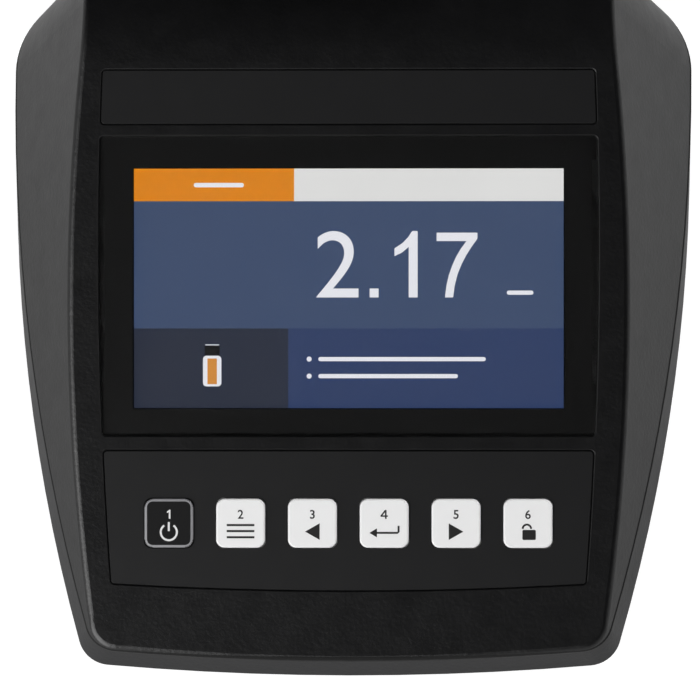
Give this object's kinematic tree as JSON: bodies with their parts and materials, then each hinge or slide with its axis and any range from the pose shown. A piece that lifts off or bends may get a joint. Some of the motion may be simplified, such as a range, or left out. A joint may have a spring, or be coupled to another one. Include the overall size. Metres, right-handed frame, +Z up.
{
  "type": "turbidity meter",
  "caption": "Bench turbidity meter with a wedge housing, inclined display, a row of push keys and a vial well under a hinged lid.",
  "frame": {"origin": "middle of the part's footprint box, on the surface that it stands on", "axes": "+Z up, +X to the right of someone who faces the display, +Y to the rear"},
  "size_m": [0.2504, 0.2932, 0.1002],
  "materials": {
    "housing_charcoal": "fine spark-eroded texture",
    "base_charcoal": "fine spark-eroded texture",
    "trim_black": "satin",
    "lens_black": "polished",
    "display_glass": "lit panel",
    "sheet_steel": "plain sheet",
    "foam": "foam",
    "key_black": "satin",
    "key_white": "satin",
    "dome_metal": "plain",
    "board_green": "lacquered",
    "ribbon": "film",
    "component_black": "moulded",
    "capacitor_can": "sleeved",
    "cell_steel": "bright",
    "optics_black": "matt",
    "optics_glass": "clear",
    "sensor_can": "plated",
    "soft_black": "matt",
    "screw_steel": "blackened"
  },
  "bodies": {
    "housing": {"top_cover": "housing_charcoal", "bottom_case": "base_charcoal", "name_strip": "trim_black", "keypad_panel": "trim_black", "well_collar": "trim_black", "port_panel": "trim_black", "display_lens": "lens_black", "lcd_panel": "display_glass", "lcd_frame": "sheet_steel", "display_rails": "sheet_steel", "usb_port": "sheet_steel", "lens_gasket": "foam", "key_domes": "dome_metal", "keypad_board": "board_green", "main_board": "board_green", "optics_boards": "board_green", "port_board": "board_green", "display_ribbon": "ribbon", "keypad_ribbon": "ribbon", "board_chips": "component_black", "beeper": "component_black", "clock_cell_holder": "component_black", "dc_jack": "component_black", "board_capacitors": "capacitor_can", "clock_cell": "cell_steel", "hinge_pin": "cell_steel", "catch_magnets": "cell_steel", "optics_block": "optics_black", "lamp_lens": "optics_glass", "lamp": "optics_glass", "scatter_detector": "sensor_can", "transmission_detector": "sensor_can", "well_pad": "soft_black", "feet": "soft_black", "case_screws": "screw_steel", "board_screws": "screw_steel", "optics_screws": "screw_steel"},
    "lid": {"lid_cover": "housing_charcoal", "lid_baffle": "trim_black", "lid_seal": "foam", "lid_magnets": "cell_steel"},
    "key_power": {"key_power": "key_black"},
    "key_list": {"key_list": "key_white"},
    "key_left": {"key_left": "key_white"},
    "key_enter": {"key_enter": "key_white"},
    "key_right": {"key_right": "key_white"},
    "key_lock": {"key_lock": "key_white"}
  },
  "joints": [
    {"name": "lid_hinge", "type": "hinge", "parent": "housing", "child": "lid", "pos_m": [0, 0.13962, 0.09124], "axis": [-1, 0, 0], "range_deg": [0, 105]},
    {"name": "key_power_press", "type": "slide", "parent": "housing", "child": "key_power", "axis": [0, 0.309, -0.9511], "range_m": [0, 0.0006], "stiffness_N_per_m": 800},
    {"name": "key_list_press", "type": "slide", "parent": "housing", "child": "key_list", "axis": [0, 0.309, -0.9511], "range_m": [0, 0.0006], "stiffness_N_per_m": 800},
    {"name": "key_left_press", "type": "slide", "parent": "housing", "child": "key_left", "axis": [0, 0.309, -0.9511], "range_m": [0, 0.0006], "stiffness_N_per_m": 800},
    {"name": "key_enter_press", "type": "slide", "parent": "housing", "child": "key_enter", "axis": [0, 0.309, -0.9511], "range_m": [0, 0.0006], "stiffness_N_per_m": 800},
    {"name": "key_right_press", "type": "slide", "parent": "housing", "child": "key_right", "axis": [0, 0.309, -0.9511], "range_m": [0, 0.0006], "stiffness_N_per_m": 800},
    {"name": "key_lock_press", "type": "slide", "parent": "housing", "child": "key_lock", "axis": [0, 0.309, -0.9511], "range_m": [0, 0.0006], "stiffness_N_per_m": 800}
  ]
}
